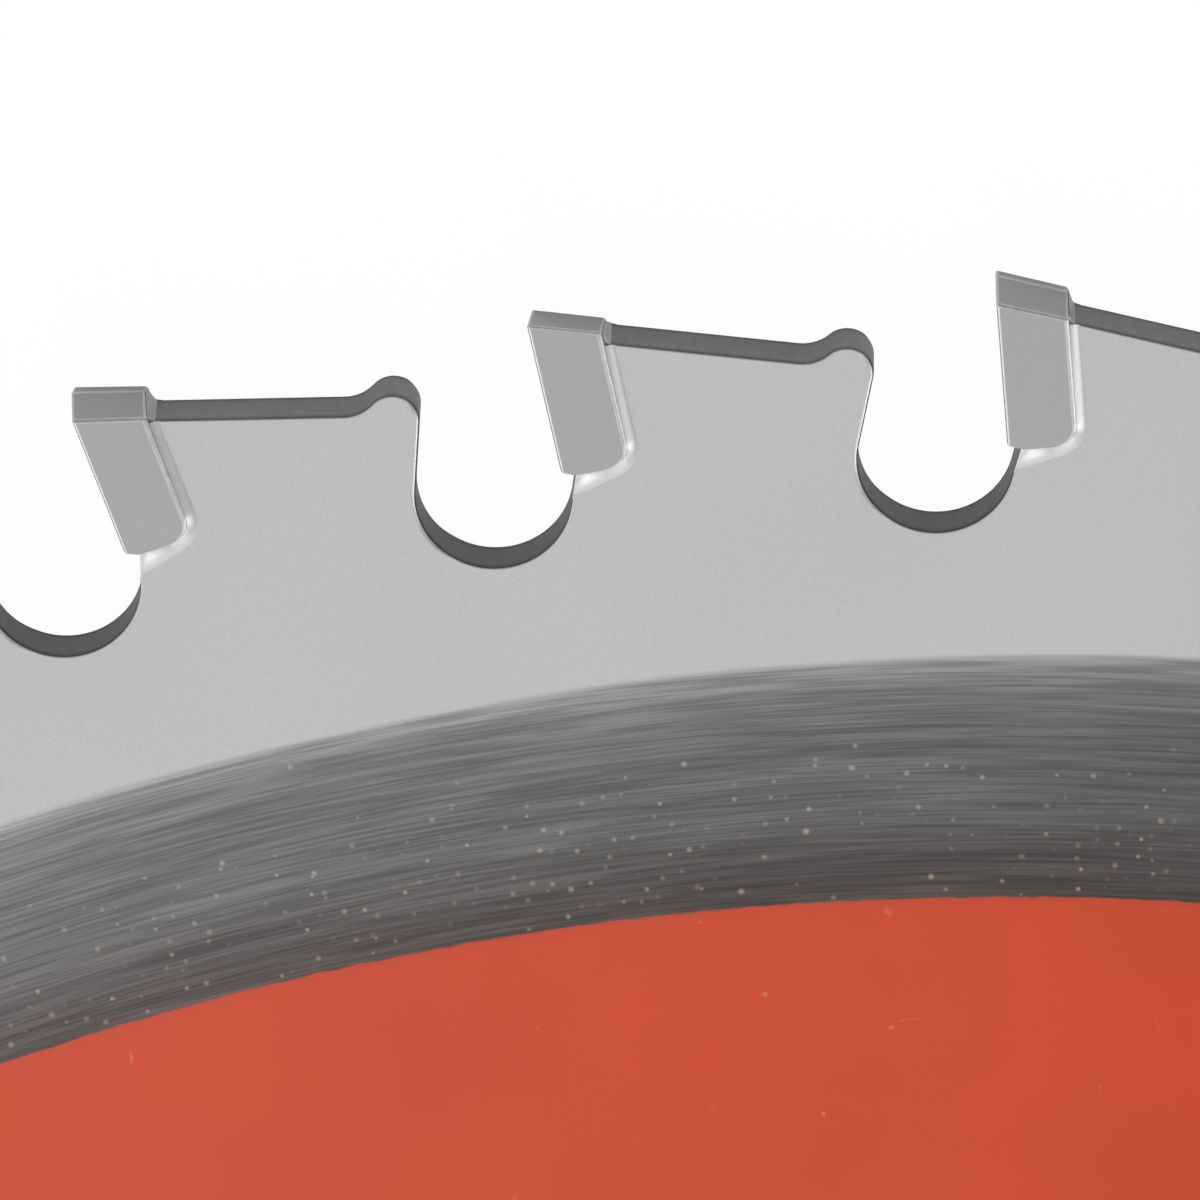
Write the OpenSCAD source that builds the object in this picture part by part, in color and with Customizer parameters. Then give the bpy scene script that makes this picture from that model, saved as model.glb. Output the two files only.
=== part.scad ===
// Carbide-tipped circular saw blade: a steel plate with round gullets and chip limiters, and a
// tungsten-carbide tip brazed into the seat of each tooth.
// Frame: origin at the bore's centre in the plate's mid-plane, +Z along the spin axis and out of
// the painted face. Seen from +Z the blade cuts turning anticlockwise. Millimetres.
// A tooth is drawn at +Y with its cutting edge on the Y axis, its face towards -X and its back
// towards +X, and is then turned to its place.

/* [Plate] */
// Diameter over the tips
blade_d = 210; // [195:1:230]
// Diameter of the arbor bore
bore_d = 30; // [16:0.1:40]
// Thickness of the steel plate
plate_t = 1.7; // [1.4:0.05:1.8]
// Number of teeth
teeth = 48; // [40:4:52]

/* [Gullets] */
// Radius of the gullet's round bottom
gullet_r = 2.3; // [2:0.05:2.5]
// Depth of the gullet below the tip circle
gullet_depth = 7.63; // [7:0.01:8.5]
// How far the gullet's centre lies ahead of the cutting edge
gullet_lead = 1.75; // [1.4:0.05:2]

/* [Lands and chip limiters] */
// Angle at which the land and the tip's top fall away behind the cutting edge
clearance_angle = 14; // [10:0.5:16]
// Step from the line of the tip's top down to the land
land_drop = 0.49; // [0.45:0.01:0.8]
// Radius of the chip limiter's round head
limiter_r = 0.79; // [0.7:0.01:0.95]
// Drop from the tip circle to the top of the chip limiter
limiter_drop = 1.72; // [1.4:0.01:1.9]
// How far the chip limiter's centre lies ahead of the next cutting edge
limiter_lead = 4.35; // [4.2:0.05:4.8]
// Radius of the hollow between the land and the chip limiter
hollow_r = 1.2; // [0.8:0.05:1.8]

/* [Expansion slots] */
// Number of expansion slots, each from the bottom of a gullet
slots = 4; // [2:2:4]
// Width of a slot
slot_w = 1; // [0.4:0.1:2]
// Distance from the gullet's bottom to the centre of the slot's round end
slot_l = 9; // [6:0.5:14]
// Radius of the slot's round end
slot_end_r = 1.6; // [1.2:0.1:2.2]

/* [Carbide tips] */
// Width of the cut, over the tips' flanks
kerf = 2.4; // [2.3:0.05:3]
// Thickness of a tip, square to its face
tip_w = 2.1; // [1.8:0.05:2.4]
// Length of a tip along its face
tip_l = 4.95; // [4.5:0.05:5.4]
// Hook angle of the tip's face
hook_angle = 4; // [0:0.5:8]
// Bevel of the tip's top across the cut
top_bevel = 10; // [5:0.5:15]
// Distance of a ridged tip's crest from its lower flank
crest_inset = 0.8; // [0.3:0.05:1.2]
// Side clearance of the flanks towards the plate's centre, in degrees
radial_relief = 0.7; // [0.2:0.1:1]
// Side clearance of the flanks towards the tip's back, in degrees
back_relief = 1.5; // [0.5:0.1:2]
// Radius of the tip's lower back corner
heel_r = 0.7; // [0.4:0.05:1]
// Width of the small bevel under the tip's face
toe_w = 0.35; // [0.1:0.05:0.5]
// Height of the small bevel under the tip's face
toe_h = 0.15; // [0.05:0.01:0.3]

/* [Braze] */
// Thickness of the braze between a tip and its seat
braze_gap = 0.1; // [0.05:0.01:0.15]
// Width of the braze fillet on the plate's face, from the tip
fillet_w = 0.38; // [0.2:0.01:0.6]
// Height of the braze fillet up the tip's side
fillet_h = 0.22; // [0.1:0.01:0.23]
// Length of the braze fillet on the land behind the tip
land_fillet_l = 0.15; // [0.1:0.01:0.6]
// Height of the braze fillet on the land, up the tip's back
land_fillet_h = 0.42; // [0.1:0.01:0.45]

/* [Hidden] */
$fn = 96;
// Room by which a cutting shape runs past what it cuts
past = 1;
// Depth by which a line or round runs into a round that it would only touch, so that they cross
bite = 0.005;
// Distance of the gullet's lip behind the small bevel under the tip's face
lip_step = 0.03;
tip_circle_r = blade_d / 2;
tooth_pitch = 360 / teeth;

// A point turned anticlockwise about the origin
function turned(p, a) = [p.x * cos(a) - p.y * sin(a), p.x * sin(a) + p.y * cos(a)];
// The unit vector at an angle from +X
function heading(a) = [cos(a), sin(a)];

// Gullet and chip limiter, as seen from the tooth behind them
gullet_c = [-gullet_lead, tip_circle_r - gullet_depth + gullet_r];
limiter_path_r = tip_circle_r - limiter_drop - limiter_r;
limiter_c = [-limiter_lead, sqrt(limiter_path_r * limiter_path_r - limiter_lead * limiter_lead)];

// The gullet's wall is the line that touches the chip limiter on its right and the gullet on its left
centres = gullet_c - limiter_c;
wall_lean = acos((gullet_r + limiter_r - 2 * bite) / norm(centres));
wall_normal = heading(atan2(centres.y, centres.x) + wall_lean);
wall_high = limiter_c + (limiter_r - bite) * wall_normal;
wall_low = gullet_c - (gullet_r - bite) * wall_normal;

// The land of the tooth ahead, which is one pitch to the left
land_start = turned([0, tip_circle_r - land_drop], tooth_pitch);
land_dir = heading(tooth_pitch - clearance_angle);
land_normal = turned(land_dir, 90);
limiter_rise = (limiter_c - land_start) * land_normal;
hollow_reach = sqrt(pow(hollow_r + limiter_r, 2) - pow(hollow_r - limiter_rise, 2));
hollow_start = land_start + ((limiter_c - land_start) * land_dir - hollow_reach) * land_dir;
hollow_c = hollow_start + hollow_r * land_normal;

// A point of the tip, from its cutting edge: u along its thickness, v down its face
function on_tip(u, v) = [0, tip_circle_r] + turned([u, -v], hook_angle);
// The gullet's right wall is the line from its lip, on the foot of the seat, that touches its round
lip = on_tip(toe_w + lip_step, tip_l + braze_gap);
to_lip = lip - gullet_c;
lip_lean = acos(min(1, (gullet_r - bite) / norm(to_lip)));
lip_touch = gullet_c + (gullet_r - bite) * heading(atan2(to_lip.y, to_lip.x) - lip_lean);
lip_end = lip + 3 * braze_gap * (lip - lip_touch) / norm(lip - lip_touch);
// Fall of the tip's top from its face to its back
top_fall = tip_w * tan(clearance_angle + hook_angle);
// Where the land meets the back of the tip, down the face from the cutting edge
land_at_back = top_fall + land_drop * cos(clearance_angle) / cos(clearance_angle + hook_angle);

function tip_name(i) = str("carbide_tip_", i < 10 ? "0" : "", i);

// Draws its children once at each tooth
module at_teeth() {
  for (i = [1:teeth]) rotate((i - 1) * tooth_pitch) children();
}

// Moves its children from the cutting edge's corner to the tip's place on the tooth
module at_tip() {
  translate([0, tip_circle_r]) rotate(hook_angle) children();
}

// Outline of a tip below its top, or of its seat where grow is the braze's thickness
module tip_block(grow = 0) {
  back = tip_w + grow;
  foot = tip_l + grow;
  round_r = heel_r + grow;
  difference() {
    polygon([[0, past], [back, past], [back, -foot], [toe_w, -foot], [0, toe_h - foot]]);
    difference() {
      translate([back - round_r, -foot]) square(round_r);
      translate([back - round_r, round_r - foot]) circle(round_r);
    }
  }
}

// Round of a gullet, with the straight stretch of its wall up to the lip where that lies outside it
module gullet_space() {
  translate(gullet_c) circle(gullet_r);
  if (norm(to_lip) > gullet_r) polygon([gullet_c, lip_touch, lip_end, on_tip(0, tip_l / 2)]);
}

// Open space from one tip to the next, over the land and down the gullet's wall
module tooth_space() {
  outside_r = tip_circle_r + past;
  polygon([
    gullet_c, wall_low, wall_high, limiter_c, hollow_start, land_start,
    turned([0, outside_r], tooth_pitch), turned([0, outside_r / cos(tooth_pitch / 2)], tooth_pitch / 2),
    on_tip(tip_w / 2, -past), on_tip(tip_w / 2, tip_l - heel_r)
  ]);
  gullet_space();
}

// Rounded chip limiter with the hollow that leads up to it from the land
module chip_limiter() {
  translate(limiter_c) circle(limiter_r);
  difference() {
    polygon([hollow_start, limiter_c, hollow_c]);
    translate(hollow_c) circle(hollow_r + bite);
  }
}

// Expansion slot from the bottom of a gullet towards the bore
module expansion_slot() {
  rotate(atan2(-gullet_c.x, gullet_c.y)) {
    translate([-slot_w / 2, tip_circle_r - gullet_depth - slot_l]) square([slot_w, slot_l + gullet_r]);
    translate([0, tip_circle_r - gullet_depth - slot_l]) circle(slot_end_r);
  }
}

module blade_plate() {
  color([0.74, 0.74, 0.74])
  translate([0, 0, -plate_t / 2]) linear_extrude(plate_t) {
    difference() {
      circle(tip_circle_r);
      circle(d = bore_d);
      at_teeth() tooth_space();
      at_teeth() at_tip() tip_block(braze_gap);
      for (i = [1:slots]) rotate(floor((i - 0.5) * teeth / slots) * tooth_pitch) expansion_slot();
    }
    at_teeth() chip_limiter();
  }
}

// Half space above the ground top of a tip, hinged on the flank at height z; it falls by the angle
// towards +Z where the angle is positive
module above_top(z, angle) {
  reach = 4 * kerf;
  translate([0, 0, z]) rotate([0, 0, -clearance_angle - hook_angle]) rotate([angle, 0, 0])
    translate([-reach, 0, -reach]) cube(2 * reach);
}

// Half space outside the upper flank, leaning in towards the tip's back and foot
module outside_flank() {
  reach = 3 * tip_l;
  translate([0, 0, kerf / 2]) rotate([radial_relief, back_relief, 0])
    translate([-reach / 2, -reach / 2, 0]) cube([reach, reach, kerf]);
}

// Space that grinding clears above a tip: odd tips get one bevel that falls from their upper flank,
// even ones a crest near their lower flank with a bevel down to each side
module ground_off(i) {
  crest_z = crest_inset - kerf / 2;
  if (i % 2 == 1) {
    above_top(kerf / 2, -top_bevel);
  } else {
    above_top(crest_z, top_bevel);
    above_top(crest_z, -top_bevel);
  }
}

module carbide_tip(i) {
  color([0.66, 0.66, 0.67])
  rotate((i - 1) * tooth_pitch) at_tip() difference() {
    translate([0, 0, -kerf / 2]) linear_extrude(kerf) tip_block();
    outside_flank();
    mirror([0, 0, 1]) outside_flank();
    ground_off(i);
  }
}

// Section of the fillet on the plate's face: out from the tip, and up its side
module fillet_section() {
  polygon([[0, 0], [fillet_w, 0], [0, fillet_h]]);
}

// Fillet of braze on the upper face of the plate, down the tip's back, round its heel and under it
module face_fillet() {
  translate([0, 0, plate_t / 2]) {
    translate([tip_w, -top_fall]) rotate([90, 0, 0])
      linear_extrude(tip_l - heel_r - top_fall) fillet_section();
    translate([tip_w - heel_r, heel_r - tip_l]) rotate(-90)
      rotate_extrude(angle = 90) translate([heel_r, 0]) fillet_section();
    translate([tip_w - heel_r, -tip_l]) rotate([90, 0, -90])
      linear_extrude(tip_w - heel_r) fillet_section();
  }
}

// Space around a tooth that its braze stays out of: the gullet, and what is above its land
module braze_limit() {
  reach = 2 * tip_w;
  land_y = tip_circle_r - land_drop;
  gullet_space();
  polygon([
    [0, land_y], [reach, land_y - reach * tan(clearance_angle)],
    [reach, tip_circle_r + 2 * past], [0, tip_circle_r + 2 * past]
  ]);
}

// Braze of one tip: the film in its seat, the fillet on the land behind it, which is ground with the
// tip's top, and the fillets on the plate's faces
module braze_seam(i) {
  land_foot = on_tip(tip_w, land_at_back);
  land_reach = land_foot + land_fillet_l * heading(-clearance_angle);
  difference() {
    translate([0, 0, -plate_t / 2]) linear_extrude(plate_t) {
      difference() {
        at_tip() tip_block(braze_gap);
        at_tip() tip_block();
        braze_limit();
      }
      polygon([land_foot, land_reach, on_tip(tip_w, land_at_back - land_fillet_h)]);
    }
    at_tip() ground_off(i);
  }
  difference() {
    at_tip() {
      face_fillet();
      mirror([0, 0, 1]) face_fillet();
    }
    translate([0, 0, -kerf]) linear_extrude(2 * kerf) braze_limit();
  }
}

module braze_seams() {
  color([0.85, 0.85, 0.83])
  for (i = [1:teeth]) rotate((i - 1) * tooth_pitch) braze_seam(i);
}

blade_plate();
for (i = [1:teeth]) carbide_tip(i);
braze_seams();
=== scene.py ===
"""A carbide-tipped circular saw blade, dressed around its CAD frame.

The plate, its 48 tips and their braze are remade as finely rounded surfaces in the CAD's own frame,
and get their finishes: blasted rim, ground band and red lacquer on the plate, dark cut edges, ground
carbide and bright braze. Sizes are in millimetres, and become metres where a mesh is made.
"""
from __future__ import annotations

import logging
import math
from dataclasses import dataclass
from enum import Enum
from functools import partial
from typing import Any, Callable, Sequence

import bpy
import numpy as np
from mathutils import Matrix, Vector

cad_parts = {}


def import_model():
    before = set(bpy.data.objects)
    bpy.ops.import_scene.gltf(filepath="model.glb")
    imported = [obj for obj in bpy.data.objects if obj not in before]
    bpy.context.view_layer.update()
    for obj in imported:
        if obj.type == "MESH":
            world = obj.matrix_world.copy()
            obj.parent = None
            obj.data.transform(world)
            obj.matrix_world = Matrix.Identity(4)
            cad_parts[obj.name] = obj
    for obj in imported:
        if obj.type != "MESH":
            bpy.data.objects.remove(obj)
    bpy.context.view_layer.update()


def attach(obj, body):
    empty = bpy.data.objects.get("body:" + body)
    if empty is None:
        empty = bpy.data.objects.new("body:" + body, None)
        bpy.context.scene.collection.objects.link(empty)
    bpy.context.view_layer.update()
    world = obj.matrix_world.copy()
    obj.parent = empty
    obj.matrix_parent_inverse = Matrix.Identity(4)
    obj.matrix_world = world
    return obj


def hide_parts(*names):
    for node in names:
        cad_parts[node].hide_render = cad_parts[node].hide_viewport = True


LOG = logging.getLogger("saw_blade")
MM = 0.001
BODY = "root"

Socket, Tree = bpy.types.NodeSocket, bpy.types.NodeTree
Material, Piece = bpy.types.Material, bpy.types.Object
Adder, Array, Row = Callable[..., Socket], np.ndarray, tuple[float, ...]
MATH, VECTOR, RANGE, MIX = "ShaderNodeMath", "ShaderNodeVectorMath", "ShaderNodeMapRange", "ShaderNodeMix"
NOISE, CELLS, COORDS = "ShaderNodeTexNoise", "ShaderNodeTexVoronoi", "ShaderNodeTexCoord"
SHADER, BUMP, SURFACE = "ShaderNodeBsdfPrincipled", "ShaderNodeBump", "ShaderNodeOutputMaterial"
SMOOTH = {"interpolation_type": "SMOOTHSTEP"}
COLOUR = {"data_type": "RGBA", "out": 2}
TIMES, SCALED, OVER, LESS, LARGER, TIMES_PLUS = ({"operation": name} for name in (
    "MULTIPLY", "SCALE", "DIVIDE", "SUBTRACT", "MAXIMUM", "MULTIPLY_ADD"))
# Most of a noise lies within this span.
NOISE_SPAN = (0.3, 0.7)
# Depth of the finest relief.
RELIEF_DEPTH = 0.004
# The plate's material slots; the last is a lighter finish on broken edges, a painted highlight.
UPPER, LOWER, EDGE, PAINTED_HIGHLIGHT = range(4)


def linear(hex_colour: str) -> Row:
    """Turn an sRGB hex value into linear RGBA."""
    channels = (int(hex_colour[i:i + 2], 16) / 255 for i in (1, 3, 5))
    return (*(c / 12.92 if c <= 0.04045 else ((c + 0.055) / 1.055) ** 2.4 for c in channels), 1.0)


def add_node(tree: Tree, kind: str, feeds: dict[Any, Any] | Sequence[Any] = (), out: int | str = 0,
             **settings: Any) -> Socket:
    """Add a node with its settings and links.

    Args:
        tree: The node tree that gets the node.
        kind: Blender's type name of the node.
        feeds: Sockets that feed the inputs or their plain values, in order or by name or number.
        out: The output to hand back, by name or number.
        settings: Attributes of the node.

    Returns:
        The chosen output socket, or the node's first input where it has no output.
    """
    node = tree.nodes.new(kind)
    for name, value in settings.items():
        setattr(node, name, value)
    for name, value in feeds.items() if isinstance(feeds, dict) else enumerate(feeds):
        if isinstance(value, Socket):
            tree.links.new(value, node.inputs[name])
        else:
            node.inputs[name].default_value = value
    return node.outputs[out] if node.outputs else node.inputs[0]


def new_material(name: str) -> tuple[Material, Adder]:
    """Make an empty node material.

    Args:
        name: Name of the material.

    Returns:
        The material, and what adds nodes to it.
    """
    material = bpy.data.materials.new(name)
    material.use_nodes = True
    material.node_tree.nodes.clear()
    return material, partial(add_node, material.node_tree)


def position(node: Adder) -> Socket:
    """Position in the piece's own frame, in millimetres."""
    return node(VECTOR, {0: node(COORDS, out="Object"), "Scale": 1 / MM}, **SCALED)


def varied(node: Adder, colour: Any, noise: Socket, swing: float, span: Row = NOISE_SPAN,
           **settings: Any) -> Socket:
    """Scale a colour by a noise: from one less the swing to one and the swing, across the noise's span."""
    gain = node(RANGE, (noise, *span, 1 - swing, 1 + swing), **settings)
    return node(VECTOR, {0: colour, "Scale": gain}, **SCALED)


def end_material(node: Adder, base: Any, rough: Any, height: Socket, relief: float, metal: Any = 1.0,
                 gloss: float = 0.5) -> None:
    """Shade a surface by its colour, roughness, relief, share of bare metal and gloss, and end its nodes."""
    bump = node(BUMP, {"Strength": relief, "Distance": RELIEF_DEPTH * MM, "Height": height})
    node(SURFACE, {"Surface": node(SHADER, {"Base Color": base, "Roughness": rough, "Metallic": metal,
                                            "Specular IOR Level": gloss, "Normal": bump})})


def arc(centre: complex, radius: float, start: float, end: float, steps: int) -> Array:
    """Points of a round stretch, both ends among them: the centre plus the radius along each heading."""
    return centre + radius * np.exp(1j * np.linspace(start, end, steps + 1))


def turned(points: Any, degrees: Any) -> Any:
    """Turn complex points anticlockwise about the origin."""
    return points * np.exp(1j * np.radians(degrees))


def sweep_ccw(start: complex, end: complex) -> Row:
    """Headings of two directions, the second made the larger so that the way is anticlockwise."""
    first = float(np.angle(start))
    return first, first + float((np.angle(end) - first) % (2 * np.pi))


def raised(plane: Array, z: Any) -> Array:
    """Points x, y, z of the blade's plane, given as complex numbers, and of their heights."""
    return np.stack(np.broadcast_arrays(plane.real, plane.imag, z), axis=-1)


def grid_faces(rows: int, columns: int, first: int = 0) -> Array:
    """Quads of a grid of points numbered row by row, whose last column joins the first.

    Args:
        rows: Number of rows of points.
        columns: Number of points in a row.
        first: Number of the grid's first point.

    Returns:
        One row of four point numbers for each quad.
    """
    row, column = np.meshgrid(np.arange(rows - 1), np.arange(columns), indexing="ij")
    after = (column + 1) % columns
    quads = np.stack([row * columns + column, row * columns + after,
                      (row + 1) * columns + after, (row + 1) * columns + column], axis=-1)
    return quads.reshape(-1, 4) + first


def make_piece(name: str, points: Array, faces: Sequence[Sequence[int]], materials: Sequence[Material],
               slots: Sequence[int], smooth: Sequence[bool], sharp_deg: float) -> Piece:
    """Make a mesh object at the origin from points in millimetres.

    Args:
        name: Name of the piece.
        points: Rows of x, y, z.
        faces: Point numbers of each face, anticlockwise from outside.
        materials: Materials of the piece.
        slots: For each face, which material it has.
        smooth: For each face, whether it is shaded as part of a round.
        sharp_deg: Angle above which an edge is a corner.

    Returns:
        The new object, linked to the scene.
    """
    mesh = bpy.data.meshes.new(name)
    mesh.from_pydata((points * MM).tolist(), [], faces)
    for material in materials:
        mesh.materials.append(material)
    mesh.polygons.foreach_set("material_index", np.asarray(slots, dtype=np.int32))
    mesh.set_sharp_from_angle(angle=math.radians(sharp_deg))
    mesh.polygons.foreach_set("use_smooth", np.asarray(smooth, dtype=bool))
    mesh.update()
    piece = bpy.data.objects.new(name, mesh)
    bpy.context.scene.collection.objects.link(piece)
    return piece


class TipGrind(Enum):
    """How the top of a tip is ground."""

    BEVELLED = "one bevel, high at the upper flank"
    RIDGED = "a crest near the lower flank, with a bevel to each side"


@dataclass(frozen=True)
class ToothForm:
    """Sizes of one tooth, drawn at +Y with its cutting edge at the tip circle and its face to -X."""

    teeth: int = 48
    tip_circle_r: float = 105.0
    plate_t: float = 1.7
    gullet_r: float = 2.3
    gullet_depth: float = 7.63
    gullet_lead: float = 1.75
    clearance_deg: float = 14.0
    land_drop: float = 0.49
    limiter_r: float = 0.79
    limiter_drop: float = 1.72
    limiter_lead: float = 4.35
    hollow_r: float = 1.2
    slot_w: float = 1.0
    slot_l: float = 9.0
    slot_end_r: float = 1.6
    tip_w: float = 2.1
    tip_l: float = 4.95
    hook_deg: float = 4.0
    heel_r: float = 0.7
    toe_w: float = 0.35
    toe_h: float = 0.15
    lip_step: float = 0.03
    kerf: float = 2.4
    radial_relief_deg: float = 0.7
    back_relief_deg: float = 1.5
    braze_gap: float = 0.1
    hollow_steps: int = 14
    limiter_steps: int = 30
    gullet_steps: int = 72
    mouth_steps: int = 32
    slot_end_steps: int = 40
    heel_steps: int = 10

    @property
    def pitch_deg(self) -> float:
        """Angle from one tooth to the next."""
        return 360 / self.teeth

    @property
    def gullet_c(self) -> complex:
        """Centre of the gullet ahead of the tooth."""
        return complex(-self.gullet_lead, self.tip_circle_r - self.gullet_depth + self.gullet_r)

    @property
    def limiter_c(self) -> complex:
        """Centre of the chip limiter's round, on its own circle about the axis."""
        path_r = self.tip_circle_r - self.limiter_drop - self.limiter_r
        return complex(-self.limiter_lead, math.sqrt(path_r ** 2 - self.limiter_lead ** 2))

    def on_tip(self, u: Any, v: Any) -> Any:
        """Place of a point of the tip: u back from its face, v down from its cutting edge."""
        return 1j * self.tip_circle_r + turned(u - 1j * np.asarray(v), self.hook_deg)

    @property
    def top_deg(self) -> float:
        """Angle at which a tip's top falls away, off the square to its face."""
        return self.clearance_deg + self.hook_deg

    @property
    def top_slope(self) -> float:
        """How much a tip's top falls for each millimetre back from its face."""
        return math.tan(math.radians(self.top_deg))

    @property
    def foot_lean(self) -> float:
        """How much a flank falls in for each millimetre down the face."""
        return math.tan(math.radians(self.radial_relief_deg)) / math.cos(math.radians(self.back_relief_deg))

    def flank_z(self, u: Any, v: Any) -> Any:
        """Height of a tip's upper flank: half the kerf, less the lean to the back and to the foot."""
        return self.kerf / 2 - u * math.tan(math.radians(self.back_relief_deg)) - v * self.foot_lean

    def land_v(self, u: Any) -> Any:
        """How far down the face the land's line lies at u back from the face."""
        clearance, top = math.radians(self.clearance_deg), math.radians(self.top_deg)
        return u * self.top_slope + self.land_drop * math.cos(clearance) / math.cos(top)

    def land_point(self, along: float) -> complex:
        """A point on the land's line, from the line of the tip's face."""
        start = 1j * (self.tip_circle_r - self.land_drop)
        return complex(start + along * turned(1.0, -self.clearance_deg))

    def crest(self, along: float) -> list[Array]:
        """Outline from the land of the tooth ahead to the gullet's wall.

        The hollow touches the land and the chip limiter, and the wall touches the limiter and the gullet.

        Args:
            along: Where on the land the outline starts.

        Returns:
            The land's point and the rounds of the hollow and the limiter, from left to right.
        """
        land = complex(turned(self.land_point(0), self.pitch_deg))
        land_dir = complex(turned(1.0, self.pitch_deg - self.clearance_deg))
        across = (self.limiter_c - land) / land_dir
        reach = math.sqrt((self.hollow_r + self.limiter_r) ** 2 - (self.hollow_r - across.imag) ** 2)
        hollow_c = land + (across.real - reach + 1j * self.hollow_r) * land_dir
        to_limiter = self.limiter_c - hollow_c
        hollow = arc(hollow_c, self.hollow_r, *sweep_ccw(-1j * land_dir, to_limiter), self.hollow_steps)
        wall_end, wall_start = sweep_ccw(self.wall_normal, -to_limiter)
        limiter = arc(self.limiter_c, self.limiter_r, wall_start, wall_end, self.limiter_steps)
        return [np.array([turned(self.land_point(along), self.pitch_deg)]), hollow[:-1], limiter]

    @property
    def wall_normal(self) -> complex:
        """Normal of the gullet's wall, from the limiter's centre towards the gullet."""
        centres = self.gullet_c - self.limiter_c
        lean = math.acos((self.gullet_r + self.limiter_r) / abs(centres))
        return complex(np.exp(1j * (np.angle(centres) + lean)))

    @property
    def lip(self) -> complex:
        """Where the gullet's wall meets the seat, just behind the small bevel under the tip's face."""
        return complex(self.on_tip(self.toe_w + self.lip_step, self.tip_l + self.braze_gap))

    @property
    def lip_touch(self) -> complex:
        """Direction from the gullet's centre to where the line down from the lip touches its round."""
        to_lip = self.lip - self.gullet_c
        lean = math.acos(self.gullet_r / abs(to_lip))
        return complex(np.exp(1j * (np.angle(to_lip) - lean)))

    def gullet(self, slotted: bool) -> Array:
        """Round bottom of the gullet, with the expansion slot below it where it has one.

        Args:
            slotted: Whether it has one.

        Returns:
            Points from the wall's foot anticlockwise to the straight stretch below the lip.
        """
        start, end = sweep_ccw(-self.wall_normal, self.lip_touch)
        if not slotted:
            return arc(self.gullet_c, self.gullet_r, start, end, self.gullet_steps)
        inward = -self.gullet_c / abs(self.gullet_c)
        middle = sweep_ccw(-self.wall_normal, inward)[1]
        mouth = math.asin(self.slot_w / 2 / self.gullet_r)
        neck = math.asin(self.slot_w / 2 / self.slot_end_r)
        end_c = -inward * (self.tip_circle_r - self.gullet_depth - self.slot_l)
        outward = float(np.angle(-inward))
        return np.r_[
            arc(self.gullet_c, self.gullet_r, start, middle - mouth, self.mouth_steps),
            arc(end_c, self.slot_end_r, outward + neck, outward - neck + 2 * np.pi, self.slot_end_steps),
            arc(self.gullet_c, self.gullet_r, middle + mouth, end, self.mouth_steps)]

    def seat(self) -> Array:
        """Seat of the tip.

        Returns:
            Points from the lip along the tip's foot, round its heel and up its back to the land.
        """
        back, foot = self.tip_w + self.braze_gap, self.tip_l + self.braze_gap
        round_r = self.heel_r + self.braze_gap
        hook = math.radians(self.hook_deg)
        heel = arc(complex(self.on_tip(back - round_r, foot - round_r)), round_r,
                   hook - math.pi / 2, hook, self.heel_steps)
        return np.r_[[self.lip], heel, [self.on_tip(back, self.land_v(back))]]

    def sector(self, along: float, slotted: bool) -> Array:
        """Outline from the land of the tooth ahead to this tooth's own land, clockwise, without its end."""
        return np.concatenate([*self.crest(along), self.gullet(slotted), self.seat()])


@dataclass(frozen=True)
class Spot:
    """Where a shaded point lies: place, radius and heading, and the heading's share to the lighter side."""

    node: Adder
    place: Socket
    radius: Socket
    heading: Socket
    side: Socket


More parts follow.
